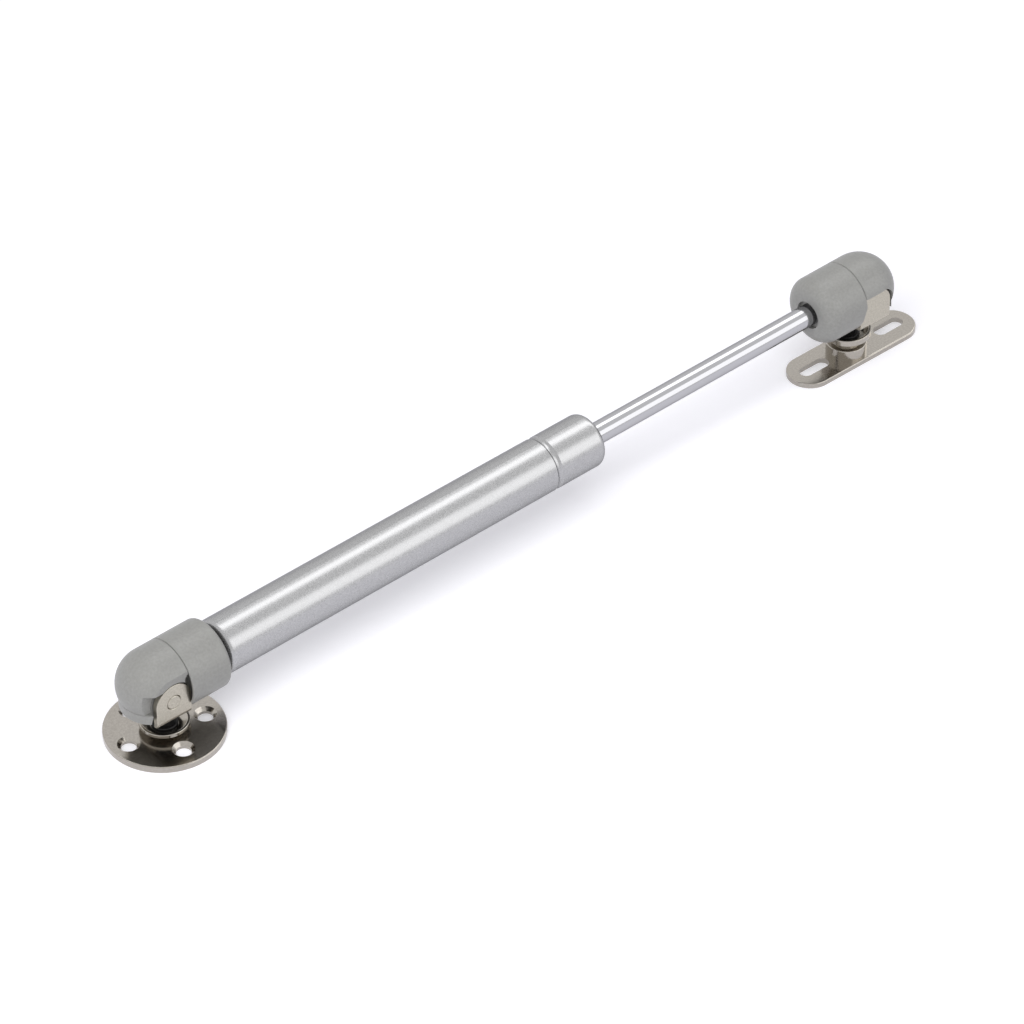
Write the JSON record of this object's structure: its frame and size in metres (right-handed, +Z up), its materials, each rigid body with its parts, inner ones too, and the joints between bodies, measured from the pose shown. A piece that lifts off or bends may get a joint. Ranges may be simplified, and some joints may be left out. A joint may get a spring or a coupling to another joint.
{
  "type": "gas spring stay",
  "caption": "Gas spring stay with a domed head, a tilting yoke and a swivelling screw-on foot at each end.",
  "frame": {"origin": "centre of the round foot on the surface that both feet stand on", "axes": "+X from the round foot to the oval foot, +Z up and square to both feet"},
  "size_m": [0.272, 0.0312, 0.0303],
  "materials": {
    "nickel_plate": "satin nickel plate",
    "nickel_yoke": "tumbled nickel plate",
    "nickel_cup": "satin nickel plate",
    "rivet_steel": "nickel plate",
    "pin_steel": "tumbled nickel plate",
    "black_nylon": "matt",
    "grey_nylon": "fine matt moulding",
    "stud_steel": "dull zinc",
    "barrel_silver": "silver lacquer",
    "inner_steel": "plain",
    "seal_rubber": "moulded",
    "guide_plastic": "moulded",
    "ring_plastic": "moulded",
    "piston_alloy": "turned",
    "rod_chrome": "ground and chromed"
  },
  "bodies": {
    "round_foot": {"round_base_plate": "nickel_plate", "round_swivel_cup": "nickel_cup", "round_swivel_bush": "black_nylon", "round_swivel_rivet": "rivet_steel"},
    "round_yoke_unit": {"round_yoke": "nickel_yoke", "round_hinge_pin": "pin_steel"},
    "barrel": {"barrel_head": "grey_nylon", "barrel_dome_cap": "grey_nylon", "barrel_stud": "stud_steel", "cylinder_tube": "barrel_silver", "seal_backing_ring": "inner_steel", "rod_seal": "seal_rubber", "rod_guide": "guide_plastic"},
    "ring": {"piston_ring": "ring_plastic"},
    "rod": {"piston": "piston_alloy", "piston_washer": "inner_steel", "piston_nut": "inner_steel", "piston_rod": "rod_chrome", "rod_head": "grey_nylon", "rod_dome_cap": "grey_nylon"},
    "oval_yoke_unit": {"oval_yoke": "nickel_yoke", "oval_hinge_pin": "pin_steel"},
    "oval_foot": {"oval_base_plate": "nickel_plate", "oval_swivel_neck": "nickel_cup", "oval_swivel_bush": "black_nylon", "oval_swivel_rivet": "rivet_steel"}
  },
  "joints": [
    {"name": "round_swivel", "type": "hinge", "parent": "round_foot", "child": "round_yoke_unit", "pos_m": [0, 0, 0.0094], "axis": [0, 0, 1], "continuous": true},
    {"name": "barrel_tilt", "type": "hinge", "parent": "round_yoke_unit", "child": "barrel", "pos_m": [-0.002, 0, 0.0156], "axis": [0, -1, 0], "range_deg": [-5, 10]},
    {"name": "rod_slide", "type": "slide", "parent": "barrel", "child": "ring", "axis": [0.9999, 0, 0.0134], "range_m": [-0.07, 0], "stiffness_N_per_m": 286, "springref_m": 0.21},
    {"name": "rod_turn", "type": "hinge", "parent": "ring", "child": "rod", "pos_m": [-0.00203, 0, 0.0176], "axis": [0.9999, 0, 0.0134], "continuous": true},
    {"name": "rod_tilt", "type": "hinge", "parent": "rod", "child": "oval_yoke_unit", "pos_m": [0.23598, 0, 0.0188], "axis": [0, -1, 0], "range_deg": [-3.5, 10]},
    {"name": "oval_swivel", "type": "hinge", "parent": "oval_yoke_unit", "child": "oval_foot", "pos_m": [0.23278, 0, 0.0126], "axis": [0, 0, 1], "continuous": true}
  ]
}
